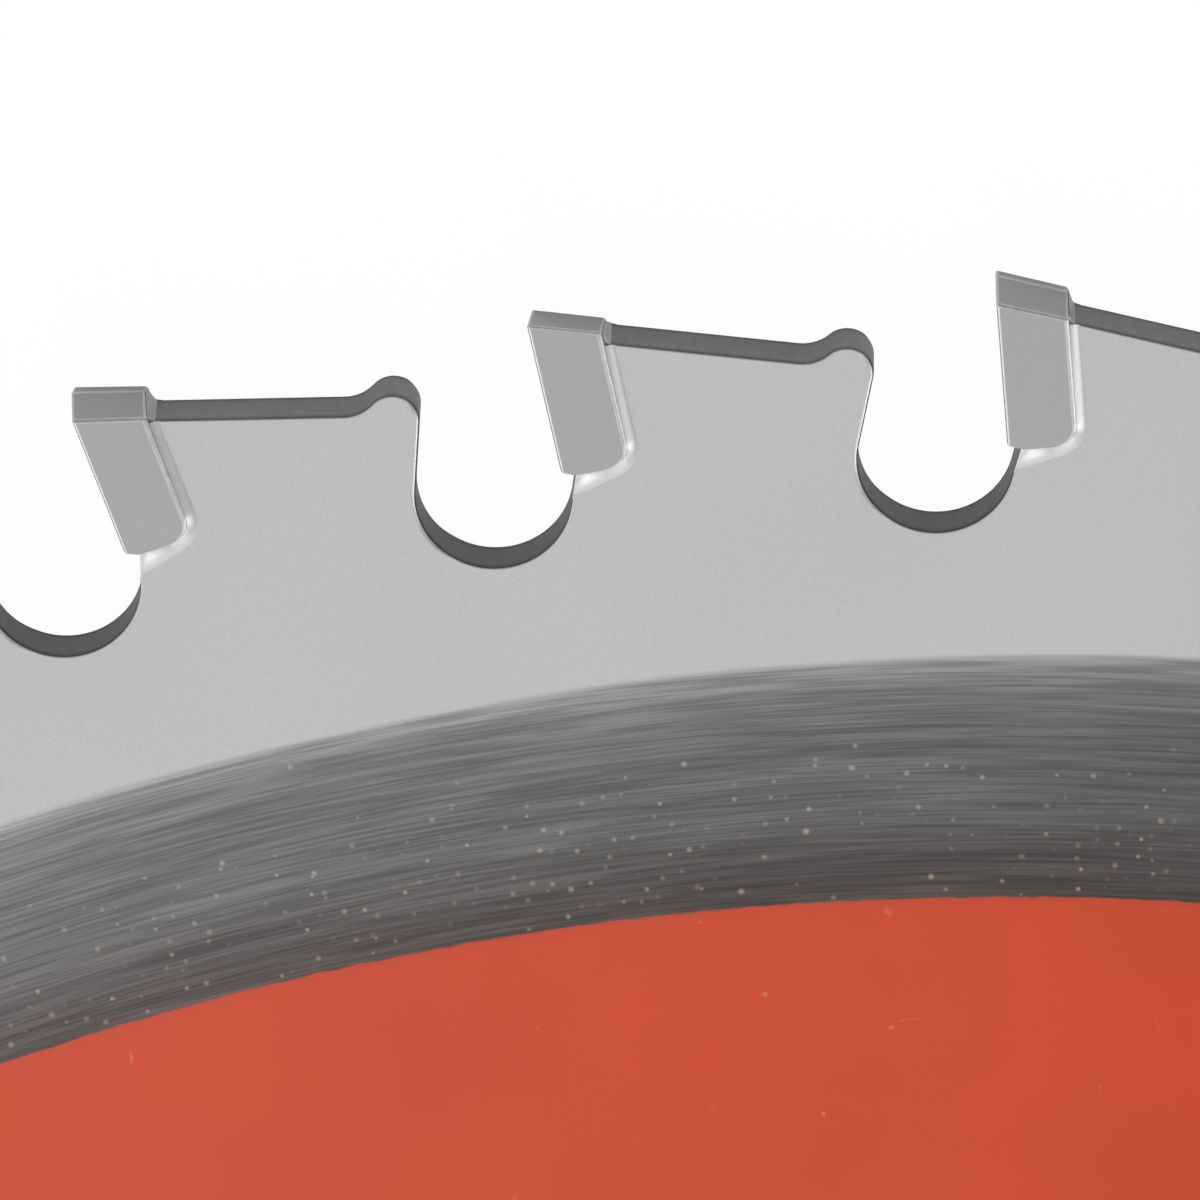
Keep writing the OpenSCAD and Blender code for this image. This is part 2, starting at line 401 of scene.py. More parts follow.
@dataclass(frozen=True)
class PlateFinish:
    """Tool-steel plate: blasted rim, ground band and, where it has it, sprayed lacquer.

    The rim is an even satin grey. The band is darker, with fine circular grinding lines that catch the
    light, and lightens towards the rim, partly where the blasting fades into it and partly as painted
    reflection; painted light and shade also make it lighter to one side. The lacquer is a flat semi-gloss
    red with a crisp edge, with a painted sheen that makes it paler to one side. Specks of dust lie on all
    three, most of them on the inner half of the band.
    """

    name: str
    lacquered: bool
    # Heading of the side painted lighter, in the band's light and shade and the lacquer's sheen; the blasting
    # mask's offset follows the same heading.
    light_side_deg: float = 184.5
    relief: float = 0.35
    rim_hex: str = "#ABABAB"
    rim_rough: float = 0.5
    rim_drift: float = 9.0
    rim_swing: float = 0.015
    grain_size: float = 0.12
    grain_swing: float = 0.04
    grain_span: Row = (0.25, 0.75)
    mask_offset: float = 1.6
    mask_wander: float = 0.25
    mask_edge: Row = (93.48, 93.74)
    band_inner_hex: str = "#45403F"
    band_greys: tuple[tuple[float, float, str], ...] = (
        (85.9, 89.5, "#575656"), (90.5, 92.2, "#606060"), (92.0, 93.5, "#7A7A7A"))
    band_rough: float = 0.36
    band_middle_r: float = 89.5
    fine_streak: Row = (3.5, 0.085)
    fine_swing: float = 0.2
    broad_streak: Row = (9.0, 0.4)
    broad_swing: float = 0.1
    # Painted light and shade on the band, by the share towards the lighter side.
    painted_side_gain: Row = (-0.3, 0.55, 0.7, 1.45)
    lacquer_hex: str = "#BC3B11"
    lacquer_sheen_hex: str = "#C3482E"
    lacquer_rough: float = 0.45
    lacquer_gloss: float = 0.25
    lacquer_level: float = 0.5
    lacquer_r: float = 85.7
    lacquer_edge: Row = (85.65, 85.75)
    lacquer_thin: Row = (85.3, 85.7, 0.0, 0.14)
    wave_size: float = 0.7
    wave_depth: float = 0.16
    sheen_span: Row = (-0.25, 0.5)
    cloud_size: float = 6.0
    cloud_swing: float = 0.03
    fibre_size: float = 1.6
    fibre_cover: Row = (0.002, 0.009, 0.18, 0.0)
    fibre_patch: float = 1.3
    fibre_shift: Row = (40, 40, 0)
    fibre_kept: Row = (0.78, 0.84)
    dust_hex: str = "#C2B596"
    dust_cell: float = 0.55
    dust_r: float = 0.125
    dust_shrink: Row = (0.0, 1.0, 0.85, 1.5)
    dust_start: Row = (85.7, 86.0)
    dust_end: Row = (88.5, 91.0, 1.0, 0.0)
    dust_drift: float = 4.0
    dust_drifts: Row = (0.32, 0.52)
    dust_least: Row = (0.0, 1.0, 0.985, 0.1)
    dust_most: float = 0.65
    dust_power: float = 2.0

    def material(self) -> Material:
        """Build the finish's nodes.

        Returns:
            The material, patterned on Object coordinates by radius and heading from the axis.
        """
        material, node = new_material(self.name)
        at = self.spot(node)
        fine, broad = self.streaks(at, *self.fine_streak), self.streaks(at, *self.broad_streak)
        # Blast grain: a fine even tooth, drawn so coarse that it just shows, and a slow drift.
        grain = node(NOISE, {"Vector": at.place, "Scale": 1 / self.grain_size, "Detail": 2.0})
        drift = node(NOISE, {"Vector": at.place, "Scale": 1 / self.rim_drift, "Detail": 1.0})
        rim = varied(node, linear(self.rim_hex)[:3], drift, self.rim_swing)
        rim = varied(node, rim, grain, self.grain_swing, self.grain_span)
        # The round mask under the blasting sat a little off the axis, and its edge wanders.
        edge_r = node(MATH, (at.side, self.mask_offset, at.radius), **TIMES_PLUS)
        edge_r = node(MATH, (broad, self.mask_wander, edge_r), **TIMES_PLUS)
        on_rim = node(RANGE, (edge_r, *self.mask_edge), **SMOOTH)
        base = node(MIX, {0: on_rim, 6: self.ground_band(at, fine, broad), 7: rim}, **COLOUR)
        rough = node(RANGE, (on_rim, 0.0, 1.0, self.band_rough, self.rim_rough))
        height = node(MIX, {0: on_rim, 2: fine, 3: grain})
        metal: Any = 1.0
        if self.lacquered:
            bare, dust = self.bare_share(at), self.dust(at)
            base = node(MIX, {0: bare, 6: self.lacquer(at), 7: base}, **COLOUR)
            base = node(MIX, {0: dust, 6: base, 7: linear(self.dust_hex)}, **COLOUR)
            rough = node(MIX, {0: bare, 2: self.lacquer_rough, 3: rough})
            height = node(MIX, {0: bare, 2: self.lacquer_level, 3: height})
            clean = node(MATH, (1.0, dust), **LESS)
            metal = node(MATH, (bare, clean), **TIMES)
        end_material(node, base, rough, height, self.relief, metal, self.lacquer_gloss)
        return material

    def spot(self, node: Adder) -> Spot:
        """Find where a shaded point lies, in millimetres.

        Args:
            node: Adds a node to the material.

        Returns:
            Its nodes.
        """
        place = position(node)
        flat = node(VECTOR, (place, (1, 1, 0)), **TIMES)
        radius = node(VECTOR, {0: flat}, out="Value", operation="LENGTH")
        heading = node(VECTOR, {0: flat}, operation="NORMALIZE")
        way = math.radians(self.light_side_deg)
        lighter = (math.cos(way), math.sin(way), 0)
        side = node(VECTOR, (heading, lighter), out="Value", operation="DOT_PRODUCT")
        return Spot(node, place, radius, heading, side)

    def streaks(self, at: Spot, length: float, width: float) -> Socket:
        """Noise drawn out round the axis: its place is the heading, as an arc, and the radius.

        Args:
            at: Where the point lies.
            length: Length of a streak.
            width: Width of a streak.

        Returns:
            The noise.
        """
        node = at.node
        along = node(VECTOR, {0: at.heading, "Scale": self.band_middle_r / length}, **SCALED)
        across = node("ShaderNodeCombineXYZ", {"Z": node(MATH, (at.radius, width), **OVER)})
        place = node(VECTOR, (along, across), operation="ADD")
        return node(NOISE, {"Vector": place, "Scale": 1.0, "Detail": 1.5})

    def ground_band(self, at: Spot, fine: Socket, broad: Socket) -> Socket:
        """Colour of the ground band: greys by radius, times the streaks and painted light and shade round the
        axis, lighter to one side.

        Args:
            at: Where the point lies.
            fine: Fine streaks.
            broad: Broad streaks.

        Returns:
            The colour.
        """
        node = at.node
        # The greys lighten towards the rim partly where the blasting fades into the band and partly as
        # painted reflection of its grinding lines.
        grey: Any = linear(self.band_inner_hex)
        for start, end, hex_colour in self.band_greys:
            share = node(RANGE, (at.radius, start, end), **SMOOTH)
            grey = node(MIX, {0: share, 6: grey, 7: linear(hex_colour)}, **COLOUR)
        grey = varied(node, grey, fine, self.fine_swing, **SMOOTH)
        grey = varied(node, grey, broad, self.broad_swing, **SMOOTH)
        # Painted light and shade: the band is lighter on the side towards light_side_deg and darker opposite.
        gain = node(RANGE, (at.side, *self.painted_side_gain), **SMOOTH)
        return node(VECTOR, {0: grey, "Scale": gain}, **SCALED)

    def bare_share(self, at: Spot) -> Socket:
        """Share of bare steel: none on the lacquer, thin towards its edge, all of it past the edge.

        Args:
            at: Where the point lies.

        Returns:
            The share.
        """
        node = at.node
        wave = node(NOISE, {"Vector": at.place, "Scale": 1 / self.wave_size, "Detail": 3.0})
        edge_r = node(MATH, (wave, self.wave_depth, at.radius), **TIMES_PLUS)
        edge_r = node(MATH, (edge_r, self.wave_depth / 2), **LESS)
        thin = node(RANGE, (edge_r, *self.lacquer_thin), **SMOOTH)
        past = node(RANGE, (edge_r, *self.lacquer_edge), **SMOOTH)
        return node(MATH, (thin, past), **LARGER)

    def lacquer(self, at: Spot) -> Socket:
        """Colour of the lacquer: a painted sheen that makes it a little paler to one side, faintly clouded,
        with a few short fibres.

        A fibre is where one noise passes its middle, kept where another is high.

        Args:
            at: Where the point lies.

        Returns:
            The colour.
        """
        node = at.node
        # Painted sheen: the red turns paler towards the lighter side, more so out towards the lacquer's edge.
        share = node(MATH, (at.radius, self.lacquer_r), **OVER)
        sheen_reach = node(MATH, (at.side, share), **TIMES)
        sheen_share = node(RANGE, (sheen_reach, *self.sheen_span), **SMOOTH)
        full, sheened_red = linear(self.lacquer_hex), linear(self.lacquer_sheen_hex)
        red = node(MIX, {0: sheen_share, 6: full, 7: sheened_red}, **COLOUR)
        cloud = node(NOISE, {"Vector": at.place, "Scale": 1 / self.cloud_size, "Detail": 3.0})
        red = varied(node, red, cloud, self.cloud_swing)
        curl = node(NOISE, {"Vector": at.place, "Scale": 1 / self.fibre_size, "Detail": 0.0})
        curl = node(MATH, (curl, 0.5), **LESS)
        curl = node(MATH, {0: curl}, operation="ABSOLUTE")
        hair = node(RANGE, (curl, *self.fibre_cover), **SMOOTH)
        apart = node(VECTOR, (at.place, self.fibre_shift), operation="ADD")
        patch = node(NOISE, {"Vector": apart, "Scale": 1 / self.fibre_patch, "Detail": 0.0})
        kept = node(RANGE, (patch, *self.fibre_kept), **SMOOTH)
        hair = node(MATH, (hair, kept), **TIMES)
        return node(MIX, {0: hair, 6: red, 7: linear(self.dust_hex)}, **COLOUR)

    def dust(self, at: Spot) -> Socket:
        """Cover of the dust: soft specks of about 0.1 mm in loose drifts, each with a strength of its own.

        Args:
            at: Where the point lies.

        Returns:
            The cover, from nought to one.
        """
        node = at.node
        apart = node(CELLS, {"Vector": at.place, "Scale": 1 / self.dust_cell}, out="Distance",
                     voronoi_dimensions="2D")
        chance = node("ShaderNodeSeparateColor", {0: apart.node.outputs["Color"]})
        shrink = node(RANGE, (chance.node.outputs[1], *self.dust_shrink))
        apart = node(MATH, (apart, shrink), **TIMES)
        speck = node(RANGE, (apart, 0.0, self.dust_r / self.dust_cell, 1.0, 0.0), **SMOOTH)
        drift = node(NOISE, {"Vector": at.place, "Scale": 1 / self.dust_drift, "Detail": 1.0})
        dusty: Any = 1.0
        for measure, span in ((at.radius, self.dust_start), (at.radius, self.dust_end),
                              (drift, self.dust_drifts)):
            share = node(RANGE, (measure, *span), **SMOOTH)
            dusty = node(MATH, (dusty, share), **TIMES)
        least = node(RANGE, (dusty, *self.dust_least))
        strength = node(RANGE, (chance, least, 1.0, 0.0, self.dust_most))
        strength = node(MATH, (strength, self.dust_power), operation="POWER")
        return node(MATH, (speck, strength), **TIMES)


@dataclass(frozen=True)
class GroundMetalFinish:
    """A metal surface with one colour, a fine relief and slow drift in its shade."""

    name: str
    hex_colour: str
    roughness: float
    grain: Row
    contrast: float
    relief: float
    rough_swing: float = 0.04

    def colour(self, node: Adder, place: Socket) -> Any:
        """Colour before the grain: the same all over."""
        return linear(self.hex_colour)[:3]

    def material(self) -> Material:
        """Build the finish's nodes: noise of the grain's size in millimetres drives shade and relief.

        Returns:
            The material.
        """
        material, node = new_material(self.name)
        place = position(node)
        spread = node(VECTOR, (place, self.grain), **OVER)
        noise = node(NOISE, {"Vector": spread, "Scale": 1.0, "Detail": 2.0})
        base = varied(node, self.colour(node, place), noise, self.contrast)
        roughness = (*NOISE_SPAN, self.roughness - self.rough_swing, self.roughness + self.rough_swing)
        end_material(node, base, node(RANGE, (noise, *roughness)), noise, self.relief)
        return material


@dataclass(frozen=True)
class CutEdgeFinish(GroundMetalFinish):
    """Cut edge of the plate: a dull grey, with painted shade that makes it darker down in the gullets and
    along its two corners.
    """

    gullet_shade_hex: str = "#757475"
    gullet_to_land: Row = (98.5, 102.0)
    corner_shade_gain: Row = (0.5, 0.85, 1.0, 0.5)

    def colour(self, node: Adder, place: Socket) -> Any:
        """Colour before the grain: a darker grey of painted shade in the gullets and the edge's own grey on
        the lands, darkened by painted shade towards both corners.

        Args:
            node: Adds a node to the material.
            place: Position in millimetres.

        Returns:
            The colour.
        """
        flat = node(VECTOR, (place, (1, 1, 0)), **TIMES)
        radius = node(VECTOR, {0: flat}, out="Value", operation="LENGTH")
        level = node(MATH, {0: node("ShaderNodeSeparateXYZ", {0: place}, out="Z")}, operation="ABSOLUTE")
        # Painted shade: the gullets' walls are darker than the lands'.
        on_land = node(RANGE, (radius, *self.gullet_to_land), **SMOOTH)
        grey = node(MIX, {0: on_land, 6: linear(self.gullet_shade_hex), 7: linear(self.hex_colour)}, **COLOUR)
        # Painted shade: darker towards both corners of the edge, by height.
        gain = node(RANGE, (level, *self.corner_shade_gain), **SMOOTH)
        return node(VECTOR, {0: grey, "Scale": gain}, **SCALED)


@dataclass
class BladePlate:
    """The steel plate: one outline of teeth and gullets, with softly broken edges, and the bore."""

    form: ToothForm
    bore_r: float = 15.0
    slots: int = 4
    edge_r: float = 0.05
    edge_steps: int = 4
    cut_along: float = 5.0
    inner_r: Row = (80.0, 48.0, 24.0)
    inner_steps: int = 8
    wall_facing: Row = (0.6, 0.9)
    wall_round: float = 2.8
    sharp_deg: float = 35.0
    name: str = "blade_plate_finished"

    def edge_profile(self) -> tuple[Array, Array]:
        """Section of the edge: a quarter round, the wall, and a quarter round.

        Returns:
            How far each point lies in from the outline, and its height, from the upper face down.
        """
        angle = np.linspace(0, np.pi / 2, self.edge_steps + 1)
        inset = self.edge_r * (1 - np.sin(angle))
        height = self.form.plate_t / 2 - self.edge_r * (1 - np.cos(angle))
        return np.r_[inset, inset[::-1]], np.r_[height, -height[::-1]]

    def outline(self) -> tuple[Array, Array]:
        """The whole outline, clockwise.

        Returns:
            The points as complex numbers, and the number of each sector's first point.
        """
        step = self.form.teeth // self.slots
        sectors = [turned(self.form.sector(self.cut_along, k % step == step // 2), -k * self.form.pitch_deg)
                   for k in range(self.form.teeth)]
        counts = np.array([len(sector) for sector in sectors])
        return np.concatenate(sectors), np.r_[[0], np.cumsum(counts)]

    def rim(self, line: Array, firsts: Array) -> tuple[Array, Array]:
        """Edge of the plate: its section carried along the outline, wider on walls that face ahead.

        Args:
            line: Points of the outline.
            firsts: Number of each sector's first point.

        Returns:
            Rings of points x, y, z from the upper face down, and where the edge is wider.
        """
        ahead = np.roll(line, -1) - line
        left = 1j * ahead / np.abs(ahead)
        before = np.roll(left, 1)
        mitre = (left + before) / (1 + np.real(left * np.conj(before)))
        sector_of = np.repeat(np.arange(self.form.teeth), np.diff(firsts))
        facing = np.real(turned(mitre, sector_of * self.form.pitch_deg))
        rise = np.clip((facing - self.wall_facing[0]) / np.ptp(self.wall_facing), 0, 1)
        wider = 1 + (self.wall_round - 1) * rise * rise * (3 - 2 * rise)
        inset, height = self.edge_profile()
        rings = line - inset[:, None] * (wider * mitre)
        half_t = np.sign(height) * self.form.plate_t / 2
        levels = half_t[:, None] + (height - half_t)[:, None] * wider
        return raised(rings, levels), facing > self.wall_facing[0]

    def hub(self, begin: float) -> Array:
        """Flat inner faces and bore as one lathe: radius and height at each of the headings.

        Args:
            begin: First heading.

        Returns:
            Rings of points x, y, z from the upper face through the bore to the lower face.
        """
        inset, height = self.edge_profile()
        half = np.full(len(self.inner_r), self.form.plate_t / 2)
        radii = np.r_[self.inner_r, self.bore_r + inset, self.inner_r[::-1]]
        levels = np.r_[half, height, -half]
        turns = self.form.teeth * self.inner_steps
        spun = radii[:, None] * np.exp(1j * (begin - np.arange(turns) * 2 * np.pi / turns))
        return raised(spun, levels[:, None])

    def build(self, materials: Sequence[Material]) -> Piece:
        """Make the plate: the rim and the hub, with a flat face between them each side.

        Args:
            materials: Finishes of the upper face, the lower face, the cut edges and the wider broken edges,
                which are painted lighter as a highlight.

        Returns:
            The plate's object, in the CAD node's place.
        """
        line, firsts = self.outline()
        rim, widened = self.rim(line, firsts)
        hub = self.hub(float(np.angle(line[0])))
        (rings, count), (hub_rings, turns) = rim.shape[:2], hub.shape[:2]
        hub_first = rings * count
        sides = grid_faces(rings, count)
        hub_faces = grid_faces(hub_rings, turns, hub_first)[:, ::-1]
        last_ring, last_hub = (rings - 1) * count, hub_first + (hub_rings - 1) * turns
        teeth, caps_up, caps_down = self.form.teeth, [], []
        for k in range(teeth):
            outer = np.arange(firsts[k], firsts[k + 1] + 1) % count
            inner = np.arange(k * self.inner_steps, (k + 1) * self.inner_steps + 1) % turns
            caps_up.append(np.r_[inner + hub_first, outer[::-1]].tolist())
            caps_down.append(np.r_[outer + last_ring, inner[::-1] + last_hub].tolist())

        # A broken edge has the face's finish on its flatter half, and there where it is wider, on walls that
        # face ahead, a lighter finish as a painted highlight.
        ring_of = np.repeat(np.arange(rings - 1), count)
        flatter = self.edge_steps // 2
        on_upper, on_lower = ring_of < flatter, ring_of > 2 * self.edge_steps - flatter
        bright = (on_upper | on_lower) & np.tile(widened, rings - 1)
        side_slot = np.select([bright, on_upper, on_lower], [PAINTED_HIGHLIGHT, UPPER, LOWER], EDGE)
        hub_ring, flat_rings = np.repeat(np.arange(hub_rings - 1), turns), len(self.inner_r)
        wall_ring = flat_rings + self.edge_steps
        hub_slot = np.select([hub_ring < wall_ring, hub_ring == wall_ring], [UPPER, EDGE], LOWER)
        flat_hub = (hub_ring < flat_rings) | (hub_ring >= hub_rings - 1 - flat_rings)
        return make_piece(
            self.name, np.r_[rim.reshape(-1, 3), hub.reshape(-1, 3)],
            [*sides.tolist(), *hub_faces.tolist(), *caps_up, *caps_down], materials,
            np.r_[side_slot, hub_slot, np.full(teeth, UPPER), np.full(teeth, LOWER)],
            np.r_[np.ones(len(sides), bool), ~flat_hub, np.zeros(2 * teeth, bool)], self.sharp_deg)


@dataclass
class CarbideTip:
    """One ground tip: its side outline carried across the cut, between two leaning flanks."""

    form: ToothForm
    number: int
    bevel_deg: float = 10.0
    crest_inset: float = 0.8
    edge_w: float = 0.16
    edge_segments: int = 3
    fine_edge: float = 0.55
    sharp_deg: float = 15.0

    @property
    def grind(self) -> TipGrind:
        """Odd tips are bevelled, even ones ridged."""
        return TipGrind.BEVELLED if self.number % 2 else TipGrind.RIDGED

    @property
    def crest_z(self) -> float:
        """Height across the cut of the top's highest line."""
        half = self.form.kerf / 2
        return half if self.grind is TipGrind.BEVELLED else self.crest_inset - half

    @property
    def cross_slope(self) -> float:
        """How much the top falls for each millimetre across the cut, away from the crest."""
        return math.tan(math.radians(self.bevel_deg)) / math.cos(math.radians(self.form.top_deg))

    def top_y(self, u: Any, z: Any) -> Any:
        """Height of the ground top: it falls by the clearance to the back and by the bevel from the crest."""
        return -u * self.form.top_slope - np.abs(z - self.crest_z) * self.cross_slope

    @property
    def node(self) -> str:
        """Name of the CAD node that the tip stands for."""
        return f"carbide_tip_{self.number:02d}"

    def side(self) -> Array:
        """Side outline: top corners of the face and the back, the round heel and the toe's bevel.

        Returns:
            Points as u - iv, with v of the two top corners left at nought.
        """
        f = self.form
        heel_c = complex(f.tip_w - f.heel_r, f.heel_r - f.tip_l)
        heel = arc(heel_c, f.heel_r, 0, -math.pi / 2, f.heel_steps)
        toe = [complex(f.toe_w, -f.tip_l), complex(0, f.toe_h - f.tip_l)]
        return np.r_[[0j, complex(f.tip_w, 0)], heel, toe]

    def level(self, hand: int) -> Array:
        """The side outline on the lower flank, at the crest or on the upper flank.

        The top's corners lie where the ground top meets the leaning flank.

        Args:
            hand: -1 for the lower flank, 0 for the crest, 1 for the upper flank.

        Returns:
            Rows of u, height and z.
        """
        f, points = self.form, self.side()
        u, y = points.real, points.imag.copy()
        top = slice(0, 2)
        if hand == 0:
            y[top] = -u[top] * f.top_slope
            return np.stack([u, y, np.full_like(u, self.crest_z)], axis=-1)
        flat_z = hand * f.flank_z(u, 0)
        slope = self.cross_slope if hand * f.kerf / 2 > self.crest_z else -self.cross_slope
        y[top] = ((-u[top] * f.top_slope - slope * (flat_z[top] - self.crest_z))
                  / (1 + slope * hand * f.foot_lean))
        return np.stack([u, y, hand * f.flank_z(u, -y)], axis=-1)

    def build(self, materials: Sequence[Material]) -> Piece:
        """Make the tip in its place on the blade.

        Args:
            materials: The ground carbide, and the lighter finish of its softened edges, a painted highlight.

        Returns:
            The tip's object, with softened edges.
        """
        hands = (-1, 1) if self.grind is TipGrind.BEVELLED else (-1, 0, 1)
        levels = np.stack([self.level(hand) for hand in hands])
        spot = turned(self.form.on_tip(levels[..., 0], -levels[..., 1]),
                      (self.number - 1) * self.form.pitch_deg)
        points = raised(spot, levels[..., 2])
        count = levels.shape[1]
        walls = grid_faces(len(hands), count)[:, ::-1].tolist()
        lower = list(range(count))
        upper = [(len(hands) - 1) * count + k for k in reversed(range(count))]
        faces = [*walls, lower, upper]
        piece = make_piece(f"{self.node}_ground", points.reshape(-1, 3), faces, materials,
                           np.zeros(len(faces)), np.ones(len(faces), bool), self.sharp_deg)
        self.weigh_edges(piece.data, count, len(hands) - 1)
        bevel = piece.modifiers.new("softened_edges", "BEVEL")
        bevel.width = self.edge_w * MM
        bevel.segments = self.edge_segments
        bevel.limit_method = "WEIGHT"
        bevel.harden_normals = True
        # The bevel's faces take the lighter finish, a painted highlight.
        bevel.material = 1
        return piece

    def weigh_edges(self, mesh: bpy.types.Mesh, count: int, last: int) -> None:
        """Say how much each edge is softened: in full up the back, less round the heel, finely elsewhere.

        Args:
            mesh: The tip's mesh, of points numbered level by level.
            count: Number of points in a level.
            last: Number of the last level.
        """
        pairs = np.empty(2 * len(mesh.edges), dtype=np.int32)
        mesh.edges.foreach_get("vertices", pairs)
        level, spot = np.divmod(np.sort(pairs.reshape(-1, 2), axis=1), count)
        same = level[:, 0] == level[:, 1]
        flank = same & np.isin(level[:, 0], (0, last))
        top = same & (spot.min(axis=1) == 0) & (spot.max(axis=1) == 1)
        across = ~same & np.isin(spot[:, 0], (0, 1, count - 2, count - 1))
        behind = flank & (spot.min(axis=1) >= 1) & (spot.max(axis=1) < count - 1)
        left = np.interp(spot.mean(axis=1), [2, count - 3], [1.0, 0.0])
        weight = np.where(behind, left, np.where(flank | top | across, self.fine_edge, 0.0))
        mesh.attributes.new("bevel_weight_edge", "FLOAT", "EDGE").data.foreach_set("value", weight)


@dataclass
class BrazeSeams:
    """The braze of every tip: a film in the seat, a fillet on each face, and one on the land.

    Sizes in fours are those at the land, at the heel's start, at its end and at the lip.
    """

    form: ToothForm
    widths: Row = (0.29, 0.34, 0.6, 0.82)
    hollows: Row = (1.6, 1.6, 2.0, 2.0)
    swells: Row = (0.0, 0.0, 1.0, 1.0)
    drops: Row = (0.07, 0.06, 0.22, 0.04)
    sinks: Row = (0.01, 0.01, 0.002, 0.002)
    rows: tuple[int, int, int] = (14, 12, 18)
    lap: float = 0.03
    droop_l: float = 0.4
    lip_left: float = 0.5
    steps: int = 10
    land_l: float = 0.15
    land_gap: float = 0.03
    land_root: float = 0.05
    sunk: float = 0.01
    sharp_deg: float = 50.0
    name: str = "braze_seams_flowed"

    def section(self) -> tuple[Array, Array]:
        """Shares of a seam's closed section, from the top of its upper fillet round to its lower one.

        Returns:
            Share of the fillet's width, out from the tip, and share of the film's thickness.
        """
        wide = np.r_[np.linspace(0, 1, self.steps + 1), [0]]
        film = np.r_[np.zeros(self.steps + 1), [1]]
        return np.r_[wide, wide[::-1]], np.r_[film, film[::-1]]

    def seam(self) -> Array:
        """One seam: the section carried down the tip's back, round its heel and along its foot.

        Each fillet falls from the tip's flank to the plate. Down the back it falls as a power of what is
        left of its width, so it is steep at the tip and runs out flat. Along the foot it is wider and
        swells out before it runs out, and towards the lip it falls away to the gullet. The rows along the
        foot slant towards the gullet's wall, and the upper end follows the land.

        Returns:
            Rows of the path, each of points x, y, z round the section.
        """
        f = self.form
        wide, film = self.section()
        back, heel, foot = self.rows
        lean = math.radians(f.hook_deg) + math.pi / 2 - float(np.angle(f.lip_touch * 1j))
        lip_u = f.toe_w + f.lip_step + f.braze_gap * math.tan(lean)
        turn = np.linspace(0, math.pi / 2, heel + 1)[1:]
        back_v = np.linspace(f.land_v(f.tip_w), f.tip_l - f.heel_r, back)
        foot_u = np.linspace(f.tip_w - f.heel_r, lip_u, foot + 1)[1:]
        u = np.r_[np.full(back, f.tip_w), f.tip_w - f.heel_r * (1 - np.cos(turn)), foot_u]
        v = np.r_[back_v, f.tip_l - f.heel_r * (1 - np.sin(turn)), np.full(foot, f.tip_l)]
        normal = np.r_[np.zeros(back), turn, np.full(foot, math.pi / 2)]
        rows = np.arange(len(u))
        stages = [0, back, back + heel, len(u) - 1]
        width, power, swell, drop, sink = (np.interp(rows, stages, sizes) for sizes in (
            self.widths, self.hollows, self.swells, self.drops, self.sinks))
        slant = np.interp(rows, [back + heel - 1, len(u) - 1], [0, math.tan(lean)])
        drawn = np.clip((u - lip_u) / self.droop_l, 0, 1)
        left = np.where(rows < back + heel, 1, self.lip_left + (1 - self.lip_left) * drawn * (2 - drawn))

        out = width[:, None] * wide - self.lap * (1 - wide) * (film == 0) + f.braze_gap * film
        places_u = u[:, None] + out * np.cos(normal)[:, None] - slant[:, None] * out * np.sin(normal)[:, None]
        places_v = v[:, None] + out * np.sin(normal)[:, None]
        spots = f.on_tip(places_u, np.maximum(places_v, f.land_v(places_u)))
        half = f.plate_t / 2 - sink
        top = f.flank_z(u, v) - half - drop
        hollow = (1 - wide) ** power[:, None]
        swollen = (1 - wide) ** 3 * (1 + 3 * wide)
        rise = half[:, None] + (top * left)[:, None] * (hollow + swell[:, None] * (swollen - hollow))
        rise = np.where(film > 0, f.plate_t / 2 - 2 * self.sunk, rise)
        hand = np.where(np.arange(len(wide)) < len(wide) // 2, 1, -1)
        return raised(spots, rise * hand)

    def land_fillet(self, tip: CarbideTip) -> Array:
        """Fillet on the land: a hollow curve from just under the tip's ground top down to the land.

        Args:
            tip: The tip that it stands behind.

        Returns:
            Rows across the plate, each of points x, y, z round the fillet's section.
        """
        f = self.form
        half = f.plate_t / 2 - self.sunk
        z = np.array([half, -half] if tip.grind is TipGrind.BEVELLED else [half, tip.crest_z, -half])
        q = np.linspace(0, 1, self.steps + 1)
        u = np.r_[f.tip_w + self.land_l * q, [f.tip_w + self.land_l, f.tip_w]]
        share = np.r_[(1 - q) ** self.hollows[0], [-self.land_root, -self.land_root]]
        rise = f.land_v(f.tip_w) + tip.top_y(f.tip_w, z) - self.land_gap
        return raised(f.on_tip(u, f.land_v(u) - rise[:, None] * share), z[:, None])

    def build(self, tips: Sequence[CarbideTip], finish: Material) -> Piece:
        """Make the seams of all the tips as one piece, of closed tubes with a cap at each end.

        Args:
            tips: The tips, in order round the blade.
            finish: The braze.

        Returns:
            The seams' object.
        """
        points, sides, caps, first = [], [], [], 0
        for tip in tips:
            for tube in (self.seam(), self.land_fillet(tip)):
                rows, columns = tube.shape[:2]
                spots = turned(tube[..., 0] + 1j * tube[..., 1], (tip.number - 1) * self.form.pitch_deg)
                points.append(raised(spots, tube[..., 2]).reshape(-1, 3))
                sides += grid_faces(rows, columns, first).tolist()
                ring = np.arange(columns) + first
                caps += [ring[::-1].tolist(), (ring + (rows - 1) * columns).tolist()]
                first += rows * columns
        smooth = np.r_[np.ones(len(sides), bool), np.zeros(len(caps), bool)]
        return make_piece(self.name, np.concatenate(points), [*sides, *caps], [finish],
                          np.zeros(len(smooth)), smooth, self.sharp_deg)


@dataclass(frozen=True)
class Softbox:
    """A square lamp that is turned to the rim."""

    name: str
    at: Row
    size: float
    power: float


